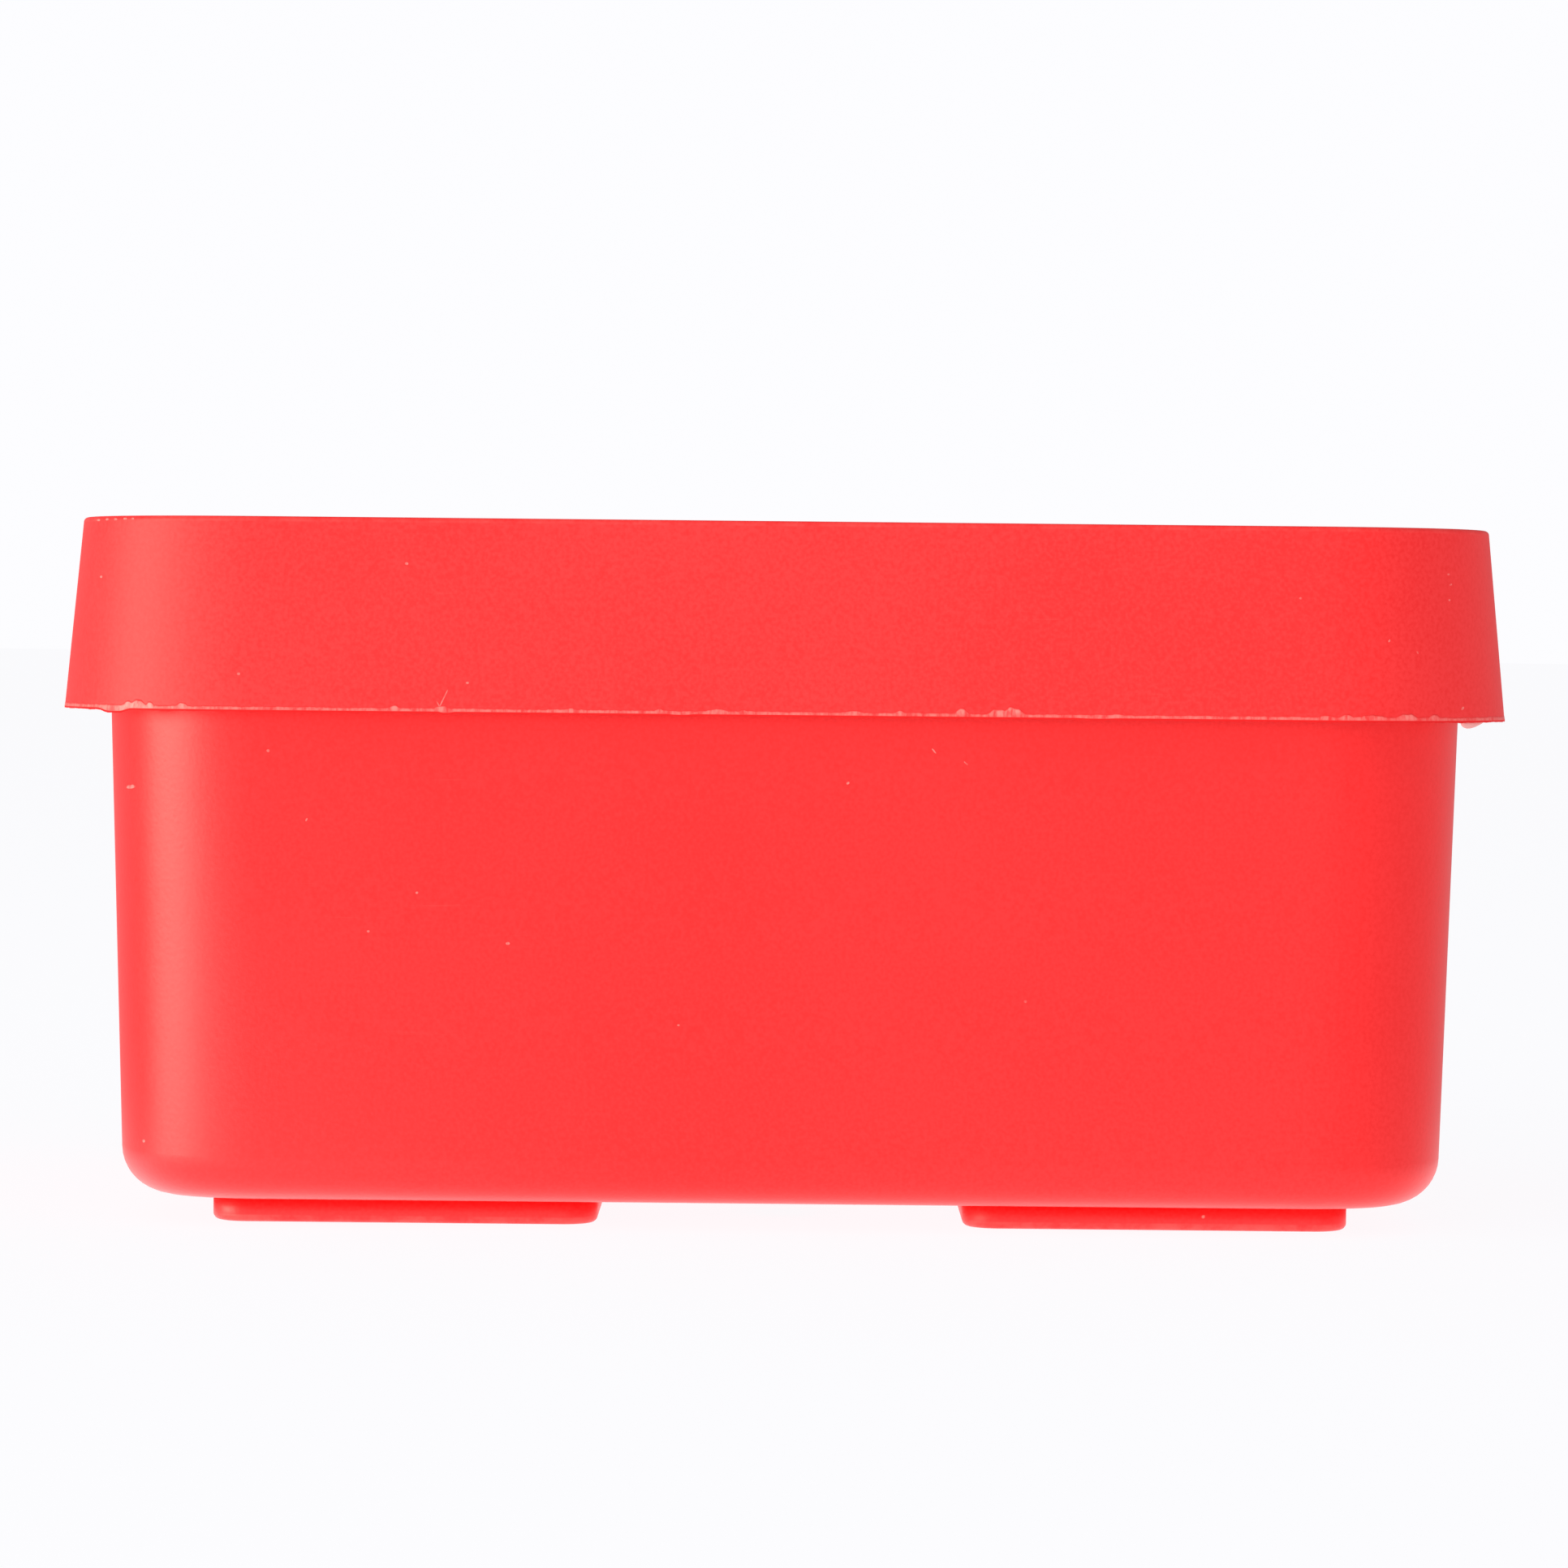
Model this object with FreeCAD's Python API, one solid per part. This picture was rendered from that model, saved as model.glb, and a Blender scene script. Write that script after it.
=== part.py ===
"""Milk bottle crate for six pint bottles, in millimetres.

A drafted, round-cornered tub stands on four hollow feet. A deep flared collar is snapped over the
top edge of the tub, and three slotted dividers, which lift out, part the inside into cells.
The origin is at the centre of the footprint, on the surface that the feet stand on, and +Z is up.
+X runs along the crate's long side, and -Y is its front.
"""

import FreeCAD
import Part

import math
import os

from FreeCAD import Vector

# Bottles and cells
bottle_diameter = 79.0
bottle_play = 2.7            # free space all round a bottle in its cell
cells_long = 3
cells_wide = 2

# Tub
tub_height = 133.5           # underside of the floor to the top of the rim
wall = 2.5
floor_thickness = 2.5
draft_deg = 1.75             # the tub widens upwards
corner_radius = 26.0         # upright corners, outside, at the underside
base_fillet = 9.0            # outside edge between wall and floor

# Collar round the top edge
collar_web = 2.5             # thickness of its flat top
skirt_thickness = 2.0
skirt_depth = 37.5
skirt_flare_deg = 5.5        # the skirt widens downwards
rim_overhang = 4.5           # skirt's outer face beyond the tub's, at the top
rim_edge_chamfer = 0.8
lap_depth = 8.0              # half-thickness lap between the collar's lip and the tub
lap_gap = 0.1
side_gussets = 5             # upright gussets in the collar, along each long side
end_gussets = 3
gusset_thickness = 1.6
gusset_gap = 0.2
gusset_rise = 4.0            # the gussets end this far above the skirt's lower edge
bead_drop = 14.0             # crest of the snap beads below the top of the rim
bead_inset = 4.0             # the beads end this far short of the rounded corners
bead_proud = 0.8
bead_slope_down = 1.2        # length of the bead below its crest
bead_slope_up = 2.4          # length of the bead above its crest

# Dividers
divider_thickness = 2.0
divider_height = 105.0
divider_end_gap = 0.5        # between a divider's end and the tub's wall
divider_side_gap = 0.25      # on each side of a divider in its channel or slot
lap_slot_gap = 0.3           # between the two halves of a crossing
divider_top_round = 5.0
scallop_radius = 45.0        # finger scallop in a divider's top edge, one per cell
scallop_depth = 10.0
scallop_ease = 6.0           # rounding where a scallop meets the top edge
drain_notch_radius = 6.0     # half-round notch in a divider's lower edge, one per cell
channel_reach = 3.0          # channel ribs stand this far out of the wall
channel_rib = 1.6
channel_height = 95.0
channel_lead = 2.0           # chamfer at the top of a channel rib

# Floor
seat_bars = 4                # raised bars under each bottle, like spokes round the drain hole
seat_bar_start = 12.0        # from the middle of the cell
seat_bar_end = 34.0
seat_bar_width = 2.4
seat_bar_height = 1.2
drain_hole = 12.0            # square hole in the middle of each cell

# Feet
foot_height = 5.4
foot_length = 76.4
foot_width = 43.5
foot_reach_x = 26.2          # a foot's outer edge, past the middle of the corner cell
foot_reach_y = 28.4
foot_corner_radius = 7.0
foot_wall = 3.0
foot_edge_chamfer = 1.0
foot_rib = 2.0
stake_length = 9.0           # along X
stake_width = 3.0
stake_gap = 0.1              # round a stake, in its slot
stake_head_over = 1.2        # the head stands out this far all round
stake_head_height = 1.0
stake_inset = 14.0           # middle of a stake from the foot's end

# Worked out from the above
cell = bottle_diameter + 2 * bottle_play
cell_pitch = cell + divider_thickness
slope = math.tan(math.radians(draft_deg))
flare = math.tan(math.radians(skirt_flare_deg))
inner_half_x = (cells_long * cell_pitch - divider_thickness) / 2    # at the top of the floor
inner_half_y = (cells_wide * cell_pitch - divider_thickness) / 2
underside = foot_height
floor_top = underside + floor_thickness
rim_top = underside + tub_height
web_under = rim_top - collar_web
skirt_bottom = rim_top - skirt_depth
bead_crest = rim_top - bead_drop
divider_top = floor_top + divider_height
base_half_x = inner_half_x + wall - floor_thickness * slope         # outside, at the underside
base_half_y = inner_half_y + wall - floor_thickness * slope
core_x = base_half_x - corner_radius
core_y = base_half_y - corner_radius
through = 1.0                                                       # cutters run past by this
near = 0.001                                                        # places this close are one

Z_AXIS = Vector(0, 0, 1)


# Places on the tub and collar, as a distance out from the core rectangle at a height
def tub_outside(z):
    return corner_radius + (z - underside) * slope


def tub_inside(z):
    return tub_outside(z) - wall


def lap_face(z):
    return tub_outside(z) - wall / 2


def skirt_outside(z):
    return tub_outside(rim_top) + rim_overhang + (rim_top - z) * flare


def skirt_inside(z):
    return skirt_outside(z) - skirt_thickness


# Building blocks
def in_xz(u, v):
    return Vector(u, 0, v)


def outline(corners):
    """Upright face inside a closed outline. A corner is (x, z) or (x, z, radius of its rounding)."""
    arcs = []
    for i, corner in enumerate(corners):
        here = Vector(corner[0], corner[1], 0)
        radius = corner[2] if len(corner) > 2 else 0
        if not radius:
            arcs.append((here, here, here))
            continue
        before = corners[i - 1]
        after = corners[(i + 1) % len(corners)]
        back = (Vector(before[0], before[1], 0) - here).normalize()
        ahead = (Vector(after[0], after[1], 0) - here).normalize()
        half_angle = back.getAngle(ahead) / 2
        reach = radius / math.tan(half_angle)
        inward = (back + ahead).normalize()
        middle = here + inward * (radius / math.sin(half_angle) - radius)
        arcs.append((here + back * reach, middle, here + ahead * reach))
    edges = []
    for i, (start, middle, end) in enumerate(arcs):
        following = arcs[(i + 1) % len(arcs)][0]
        start, middle, end, following = [in_xz(p.x, p.y) for p in (start, middle, end, following)]
        if start != end:
            edges.append(Part.Arc(start, middle, end).toShape())
        edges.append(Part.LineSegment(end, following).toShape())
    return Part.Face(Part.Wire(edges))


def carry_round(section, along_x, along_y, filled=False):
    """Solid left by a section (distance out, height) carried round a rectangle of these half
    sizes, turning about its corners. A filled one also has the block inside the rectangle."""
    turns = [(along_x, -along_y), (along_x, along_y), (-along_x, along_y), (-along_x, -along_y)]
    pieces = []
    for quarter, (start_x, start_y) in enumerate(turns):
        end_x, end_y = turns[(quarter + 1) % 4]
        side = section.copy()
        side.rotate(Vector(), Z_AXIS, 90 * quarter)
        turn = side.copy()
        side.translate(Vector(start_x, start_y, 0))
        turn.translate(Vector(end_x, end_y, 0))
        pieces.append(side.extrude(Vector(end_x - start_x, end_y - start_y, 0)))
        pieces.append(turn.revolve(Vector(end_x, end_y, 0), Z_AXIS, 90))
    if filled:
        low, high = section.BoundBox.ZMin, section.BoundBox.ZMax
        pieces.append(block(2 * along_x, 2 * along_y, low, high))
    return pieces[0].fuse(pieces[1:]).removeSplitter()


def fin(section, thickness, angle, x, y):
    """Upright plate of an XZ section, centred on its plane, turned about Z and set at x, y."""
    plate = section.extrude(Vector(0, thickness, 0))
    plate.translate(Vector(0, -thickness / 2, 0))
    plate.rotate(Vector(), Z_AXIS, angle)
    plate.translate(Vector(x, y, 0))
    return plate


def block(size_x, size_y, low, high, x=0, y=0):
    """Box centred on x, y between two heights."""
    corner = Vector(x - size_x / 2, y - size_y / 2, low)
    return Part.makeBox(size_x, size_y, high - low, corner)


def evenly(count, length):
    """Middles of count equal stretches of a length centred on zero."""
    return [(i + 0.5 - count / 2) * length / count for i in range(count)]


def cell_centres():
    columns = evenly(cells_long, cells_long * cell_pitch)
    rows = evenly(cells_wide, cells_wide * cell_pitch)
    return [(x, y) for x in columns for y in rows]


def foot_centres():
    x = (cells_long - 1) / 2 * cell_pitch + foot_reach_x - foot_length / 2
    y = (cells_wide - 1) / 2 * cell_pitch + foot_reach_y - foot_width / 2
    return {
        "foot_front_left": (-x, -y),
        "foot_front_right": (x, -y),
        "foot_rear_left": (-x, y),
        "foot_rear_right": (x, y),
    }


def stake_places(x, y):
    step = foot_length / 2 - stake_inset
    return [(x - step, y), (x + step, y)]


# Tub
def tub_shell():
    outer = outline([
        (0, underside),
        (tub_outside(underside), underside, base_fillet),
        (tub_outside(web_under), web_under),
        (0, web_under),
    ])
    over = web_under + through
    cavity = outline([
        (0, floor_top),
        (tub_inside(floor_top), floor_top, base_fillet - wall),
        (tub_inside(over), over),
        (0, over),
    ])
    lap_low = web_under - lap_depth
    lap = outline([
        (tub_inside(lap_low) - through, lap_low),
        (lap_face(lap_low), lap_low),
        (lap_face(over), over),
        (tub_inside(over) - through, over),
    ])
    shell = carry_round(outer, core_x, core_y, filled=True)
    shell = shell.cut(carry_round(cavity, core_x, core_y, filled=True))
    return shell.cut(carry_round(lap, core_x, core_y))


def snap_beads():
    """Bead along each straight side, that the collar's gussets click over."""
    low, high = bead_crest - bead_slope_down, bead_crest + bead_slope_up
    root = wall / 2
    section = outline([
        (tub_outside(low) - root, low),
        (tub_outside(low), low),
        (tub_outside(bead_crest) + bead_proud, bead_crest),
        (tub_outside(high), high),
        (tub_outside(high) - root, high),
    ])
    along_x, along_y = 2 * (core_x - bead_inset), 2 * (core_y - bead_inset)
    return [
        fin(section, along_x, 90, 0, core_y),
        fin(section, along_x, -90, 0, -core_y),
        fin(section, along_y, 0, core_x, 0),
        fin(section, along_y, 180, -core_x, 0),
    ]


def channel_ribs():
    """Pairs of upright ribs that hold the dividers' ends, rooted in the middle of wall and floor."""
    low, high = floor_top - floor_thickness / 2, floor_top + channel_height
    inner_end = tub_inside(low) - base_fillet - channel_reach
    section = outline([
        (inner_end, low),
        (lap_face(low), low, base_fillet - wall / 2),
        (lap_face(high), high),
        (tub_inside(high) - channel_reach + channel_lead, high),
        (tub_inside(high - channel_lead) - channel_reach, high - channel_lead),
        (tub_inside(floor_top) - channel_reach, floor_top + base_fillet - wall),
        (inner_end, floor_top),
    ])
    offset = divider_thickness / 2 + divider_side_gap + channel_rib / 2
    ribs = []
    for side in (-1, 1):
        for x in cross_places():
            ribs.append(fin(section, channel_rib, 90, x + side * offset, core_y))
            ribs.append(fin(section, channel_rib, -90, x + side * offset, -core_y))
        for y in long_places():
            ribs.append(fin(section, channel_rib, 0, core_x, y + side * offset))
            ribs.append(fin(section, channel_rib, 180, -core_x, y + side * offset))
    return ribs


def seat_bars_at(x, y):
    """Raised bars that a bottle stands on, with room between them for water to drain."""
    length, middle = seat_bar_end - seat_bar_start, (seat_bar_end + seat_bar_start) / 2
    low, high = floor_top - floor_thickness / 2, floor_top + seat_bar_height
    bars = []
    for i in range(seat_bars):
        bar = block(length, seat_bar_width, low, high, middle)
        bar.rotate(Vector(), Z_AXIS, i * 360 / seat_bars)
        bar.translate(Vector(x, y, 0))
        bars.append(bar)
    return bars


def floor_holes():
    low, high = underside - through, floor_top + through
    holes = [block(drain_hole, drain_hole, low, high, x, y) for x, y in cell_centres()]
    for centre in foot_centres().values():
        for x, y in stake_places(*centre):
            holes += stake(x, y, low, high, stake_gap)
    return holes


def stake(x, y, low, high, gap=0):
    """Stake and its head, widened by a gap for the hole that they sit in."""
    head = 2 * stake_head_over + 2 * gap
    head_low = floor_top - stake_head_height
    length, width = stake_length + 2 * gap, stake_width + 2 * gap
    return [
        block(length, width, low, high, x, y),
        block(stake_length + head, stake_width + head, head_low, high, x, y),
    ]


def crate_tub():
    added = snap_beads() + channel_ribs()
    for x, y in cell_centres():
        added += seat_bars_at(x, y)
    return tub_shell().fuse(added).removeSplitter().cut(floor_holes())


# Collar
def rim_collar():
    lip_low = web_under - lap_depth + lap_gap
    section = outline([
        (tub_inside(rim_top) + rim_edge_chamfer, rim_top),
        (tub_inside(rim_top), rim_top - rim_edge_chamfer),
        (tub_inside(lip_low), lip_low),
        (lap_face(lip_low) - lap_gap, lip_low),
        (lap_face(web_under) - lap_gap, web_under),
        (skirt_inside(web_under), web_under),
        (skirt_inside(skirt_bottom), skirt_bottom),
        (skirt_outside(skirt_bottom), skirt_bottom),
        (skirt_outside(rim_top), rim_top - rim_edge_chamfer),
        (skirt_outside(rim_top) - rim_edge_chamfer, rim_top),
    ])
    collar = carry_round(section, core_x, core_y)
    return collar.fuse(gussets()).removeSplitter()


def gusset_outline(notch):
    """Section of a gusset between skirt and web, with a notch for the tub's snap bead or without."""
    low, high = skirt_bottom + gusset_rise, web_under + collar_web / 2
    notch_low, notch_high = bead_crest - bead_slope_down, bead_crest + bead_slope_up
    root = skirt_thickness / 2
    inner_edge = [
        (tub_outside(notch_high) + gusset_gap, notch_high + gusset_gap),
        (tub_outside(bead_crest) + bead_proud + gusset_gap, bead_crest),
        (tub_outside(notch_low) + gusset_gap, notch_low - gusset_gap),
    ]
    return outline([
        (tub_outside(high) + gusset_gap, high),
        *(inner_edge if notch else []),
        (tub_outside(low) + gusset_gap, low),
        (skirt_inside(low) + root, low),
        (skirt_inside(high) + root, high),
    ])


def gussets():
    """Upright gussets that stiffen the skirt. Those along the sides click over the snap beads."""
    plates = []
    notched, plain = gusset_outline(notch=True), gusset_outline(notch=False)
    for side, angle in ((1, 90), (-1, -90)):
        for x in evenly(side_gussets, 2 * core_x):
            plates.append(fin(notched, gusset_thickness, angle, x, side * core_y))
    for side, angle in ((1, 0), (-1, 180)):
        for y in evenly(end_gussets, 2 * core_y):
            plates.append(fin(notched, gusset_thickness, angle, side * core_x, y))
    for angle, x, y in ((45, 1, 1), (135, -1, 1), (225, -1, -1), (315, 1, -1)):
        plates.append(fin(plain, gusset_thickness, angle, x * core_x, y * core_y))
    return plates


# Dividers
def cross_places():
    """Where the dividers that run front to back stand, along X."""
    return [x - cell_pitch / 2 for x in evenly(cells_long, cells_long * cell_pitch)[1:]]


def long_places():
    """Where the dividers that run lengthwise stand, along Y."""
    return [y - cell_pitch / 2 for y in evenly(cells_wide, cells_wide * cell_pitch)[1:]]


def crosswise_rod(radius, x, z):
    """Cutter through a divider that lies in the XZ plane."""
    start = Vector(x, -divider_thickness, z)
    return Part.makeCylinder(radius, 2 * divider_thickness, start, Vector(0, 1, 0))


def scallop_ends(body, middles):
    """Edges across the divider where its scallops meet the top edge."""
    half_chord = math.sqrt(scallop_radius ** 2 - (scallop_radius - scallop_depth) ** 2)
    ends = [x + side * half_chord for x in middles for side in (-1, 1)]
    found = []
    for edge in body.Edges:
        middle = edge.CenterOfMass
        across = edge.BoundBox.YLength > divider_thickness / 2
        at_top = abs(middle.z - divider_top) < near
        if across and at_top and any(abs(middle.x - x) < near for x in ends):
            found.append(edge)
    return found


def slat(core, cells, slots, slots_open_up):
    """Divider lying in the XZ plane, with scallops, drain notches and half-height slots."""
    low_half = core + tub_inside(floor_top) - divider_end_gap
    high_half = core + tub_inside(divider_top) - divider_end_gap
    foot_round = base_fillet - wall + 2 * divider_end_gap
    board = outline([
        (-low_half, floor_top, foot_round),
        (low_half, floor_top, foot_round),
        (high_half, divider_top, divider_top_round),
        (-high_half, divider_top, divider_top_round),
    ])
    body = fin(board, divider_thickness, 0, 0, 0)
    middles = evenly(cells, cells * cell_pitch)
    scallop_middle = divider_top - scallop_depth + scallop_radius
    body = body.cut([crosswise_rod(scallop_radius, x, scallop_middle) for x in middles])
    body = body.makeFillet(scallop_ease, scallop_ends(body, middles))
    cutters = [crosswise_rod(drain_notch_radius, x, floor_top) for x in middles]
    crossing = (floor_top + divider_top) / 2
    width = divider_thickness + 2 * divider_side_gap
    low = crossing - lap_slot_gap / 2 if slots_open_up else floor_top - through
    high = divider_top + through if slots_open_up else crossing + lap_slot_gap / 2
    for x in slots:
        corner = Vector(x - width / 2, -divider_thickness, low)
        cutters.append(Part.makeBox(width, 2 * divider_thickness, high - low, corner))
    return body.cut(cutters)


def divider_long():
    return slat(core_x, cells_long, cross_places(), slots_open_up=True)


def divider_cross(x):
    board = slat(core_y, cells_wide, long_places(), slots_open_up=False)
    board.rotate(Vector(), Z_AXIS, 90)
    board.translate(Vector(x, 0, 0))
    return board


# Feet
def foot(x, y):
    """Hollow foot: a ring with crossed ribs, and stakes headed over in the tub's floor."""
    outer, inner = foot_corner_radius, foot_corner_radius - foot_wall
    ring = outline([
        (inner, underside),
        (inner, 0),
        (outer - foot_edge_chamfer, 0),
        (outer, foot_edge_chamfer),
        (outer, underside),
    ])
    along_x, along_y = foot_length / 2 - outer, foot_width / 2 - outer
    solids = [carry_round(ring, along_x, along_y)]
    low = foot_edge_chamfer
    solids.append(block(foot_rib, foot_width - foot_wall, low, underside))
    solids.append(block(foot_length - foot_wall, foot_rib, low, underside))
    for stake_x, stake_y in stake_places(0, 0):
        solids += stake(stake_x, stake_y, low, floor_top)
    body = solids[0].fuse(solids[1:]).removeSplitter()
    body.translate(Vector(x, y, 0))
    return body


def export(name, shape):
    if not shape.isValid() or len(shape.Solids) != 1:
        raise ValueError(f"{name}: {len(shape.Solids)} solids, valid {shape.isValid()}")
    shape.Solids[0].exportStep(os.path.join("parts", name + ".step"))


def main():
    os.makedirs("parts", exist_ok=True)
    export("crate_tub", crate_tub())
    export("rim_collar", rim_collar())
    export("divider_long", divider_long())
    for name, x in zip(("divider_cross_left", "divider_cross_right"), cross_places()):
        export(name, divider_cross(x))
    for name, centre in foot_centres().items():
        export(name, foot(*centre))


main()
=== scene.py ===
import math

import bmesh
import bpy
import numpy as np
from mathutils import Matrix, Vector
from mathutils.geometry import tessellate_polygon


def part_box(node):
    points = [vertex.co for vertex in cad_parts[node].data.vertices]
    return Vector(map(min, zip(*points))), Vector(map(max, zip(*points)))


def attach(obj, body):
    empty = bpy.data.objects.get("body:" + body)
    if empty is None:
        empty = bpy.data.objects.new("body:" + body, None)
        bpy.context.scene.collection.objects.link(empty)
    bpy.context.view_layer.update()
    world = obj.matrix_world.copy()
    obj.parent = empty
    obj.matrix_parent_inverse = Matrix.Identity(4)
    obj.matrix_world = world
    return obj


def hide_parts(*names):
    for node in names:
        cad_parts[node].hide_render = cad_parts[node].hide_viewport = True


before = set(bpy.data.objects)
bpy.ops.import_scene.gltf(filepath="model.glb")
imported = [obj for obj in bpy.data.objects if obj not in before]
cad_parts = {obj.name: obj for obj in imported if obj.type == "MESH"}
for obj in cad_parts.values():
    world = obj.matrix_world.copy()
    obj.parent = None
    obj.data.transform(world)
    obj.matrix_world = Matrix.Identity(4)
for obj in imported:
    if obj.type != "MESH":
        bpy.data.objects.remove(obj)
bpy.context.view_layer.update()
mm = 0.001
quarterTurn = math.pi / 2
weldReach = 0.002 * mm          # points closer than this are one

# Places that every piece is set out from
tubLow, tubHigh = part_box("crate_tub")
collarLow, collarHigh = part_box("rim_collar")
footLow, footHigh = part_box("foot_front_left")
underside, floorTop = tubLow.z, footHigh.z
skirtBottom, rimTop = collarLow.z, collarHigh.z

tub = dict(
    draft=math.radians(1.75),
    wall=2.5 * mm,
    cornerRadius=29 * mm,        # outside, at the underside
    cornerBulge=8 * mm,
    baseFillet=9 * mm,
    edgeRound=0.35 * mm,
    lapDepth=8 * mm,             # thinned edge inside the collar's lip
    drainHole=12 * mm,
    drainCorner=1.2 * mm,
    drainEase=0.4 * mm,
)
collar = dict(
    web=2.5 * mm,
    skirt=2 * mm,
    flare=math.radians(5.5),
    overhang=4.5 * mm,
    faceInset=0.06 * mm,         # room for the flash on the outside of the skirt
    rimRound=0.9 * mm,
    edgeRound=0.3 * mm,
    lapGap=0.1 * mm,
)
draftSlope, flareSlope = math.tan(tub["draft"]), math.tan(collar["flare"])
webUnder = rimTop - collar["web"]


# Distances out from the core rectangle at a height, as arrays or single values
def tubOutside(z):
    return tub["cornerRadius"] + (z - underside) * draftSlope


def tubInside(z):
    return tubOutside(z) - tub["wall"]


def lapFace(z):
    return tubOutside(z) - tub["wall"] / 2


def skirtOutside(z):
    return tubOutside(rimTop) + collar["overhang"] + (rimTop - z) * flareSlope


coreX = collarHigh.x - skirtOutside(skirtBottom)
coreY = collarHigh.y - skirtOutside(skirtBottom)


# Shapes
def rounded(corners, arcStep=15, hold=0.3 * mm):
    # Closed outline through corners (u, v, radius): straight runs and arcs. A point just outside each
    # arc's ends keeps the shading of the straight run flat. Also gives 1 on small arcs, else 0.
    points, edges = [], []
    for i, (u, v, radius) in enumerate(corners):
        here = np.array((u, v))
        if not radius:
            points.append(here[None])
            edges.append([0.0])
            continue
        back = np.array(corners[i - 1][:2]) - here
        ahead = np.array(corners[(i + 1) % len(corners)][:2]) - here
        back, ahead = back / np.linalg.norm(back), ahead / np.linalg.norm(ahead)
        half = math.acos(float(np.clip(back @ ahead, -1, 1))) / 2
        reach = radius / math.tan(half)
        inward = (back + ahead) / np.linalg.norm(back + ahead)
        middle = here + inward * radius / math.sin(half)
        spokes = np.array([here + back * reach, here + ahead * reach]) - middle
        start, end = np.arctan2(spokes[:, 1], spokes[:, 0])
        turn = (end - start + math.pi) % (2 * math.pi) - math.pi
        steps = max(2, math.ceil(abs(math.degrees(turn)) / arcStep))
        angles = start + turn * np.linspace(0, 1, steps + 1)
        arc = middle + radius * np.stack([np.cos(angles), np.sin(angles)], 1)
        points.append(np.vstack([arc[0] + back * hold, arc, arc[-1] + ahead * hold]))
        edges.append([0.0] + [float(radius < 2 * mm)] * len(arc) + [0.0])
    return np.vstack(points), np.concatenate(edges)


def divided(points, edges, longest):
    # The same closed outline with extra points, so that no run is longer than this.
    out, worn = [], []
    for i, start in enumerate(points):
        end = points[(i + 1) % len(points)]
        steps = max(1, math.ceil(np.linalg.norm(end - start) / longest))
        out.append(start + (end - start) * (np.arange(steps) / steps)[:, None])
        worn.append([edges[i]] + [0.0] * (steps - 1))
    return np.vstack(out), np.concatenate(worn)


def cornerShift(angles, bulge):
    # Offset h n + h' t for h = bulge (1 - cos 4a) / 15: the bend starts gently and is tightest halfway,
    # while both ends of the corner stay where they are.
    height, slope = bulge / 15 * (1 - np.cos(4 * angles)), 4 * bulge / 15 * np.sin(4 * angles)
    x = height * np.cos(angles) - slope * np.sin(angles)
    y = height * np.sin(angles) + slope * np.cos(angles)
    return np.stack([x, y], -1)


def rectPath(alongX, alongY, cornerSteps=20, sideStep=4 * mm, bulge=0.0):
    # Once round a rectangle, counter-clockwise from above. At a corner the point stays while the outward
    # direction turns a quarter; along a side the direction stays while the point runs.
    corners = np.array([(alongX, alongY), (-alongX, alongY), (-alongX, -alongY), (alongX, -alongY)])
    places, angles = [], []
    for quarter in range(4):
        start, end = corners[quarter], corners[(quarter + 1) % 4]
        turn = quarterTurn * (quarter + np.linspace(0, 1, cornerSteps + 1))
        steps = max(2, math.ceil(np.linalg.norm(end - start) / sideStep))
        run = np.arange(1, steps) / steps
        places += [np.tile(start, (len(turn), 1)), start + (end - start) * run[:, None]]
        angles += [turn, np.full(len(run), quarterTurn * (quarter + 1))]
    angles = np.concatenate(angles)
    places = np.vstack(places) + cornerShift(angles, bulge)
    return places, np.stack([np.cos(angles), np.sin(angles)], 1)


def cratePath(cornerSteps=24, sideStep=4 * mm):
    return rectPath(coreX, coreY, cornerSteps, sideStep, tub["cornerBulge"])


def gridFaces(rows, columns, wrapRows, wrapColumns):
    # Quads between neighbours of a rows by columns grid of points.
    row = np.arange(rows if wrapRows else rows - 1)
    column = np.arange(columns if wrapColumns else columns - 1)
    row, column = [a.ravel() for a in np.meshgrid(row, column, indexing="ij")]
    nextRow, nextColumn = (row + 1) % rows, (column + 1) % columns
    a, b = row * columns + column, nextRow * columns + column
    c, d = nextRow * columns + nextColumn, row * columns + nextColumn
    return np.stack([a, b, c, d], 1)


def surface(points, faces, edges=None):
    return dict(points=points, faces=faces, edges=np.zeros(len(points)) if edges is None else edges)


def carried(profile, edges, path, closed=True):
    # P(s, t) = place(s) + out(t) * direction(s), at the height of the profile's point t.
    places, directions = path
    flat = places[:, None] + profile[None, :, :1] * directions[:, None]
    heights = np.broadcast_to(profile[None, :, 1:], flat.shape[:2] + (1,))
    points = np.concatenate([flat, heights], 2)
    rows, columns = points.shape[:2]
    faces = gridFaces(rows, columns, True, closed)
    return surface(points.reshape(-1, 3), faces, np.tile(edges, rows))


def loopOf(path, out, z):
    # One closed line of points at a distance out from the path's rectangle.
    places, directions = path
    return np.column_stack([places + out * directions, np.full(len(places), z)])


def flatPanel(outer, holes=()):
    # Flat face inside one closed line and outside others.
    lines = [outer, *holes]
    triangles = tessellate_polygon([[tuple(p) for p in line] for line in lines])
    return surface(np.vstack(lines), np.array(triangles))


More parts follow.
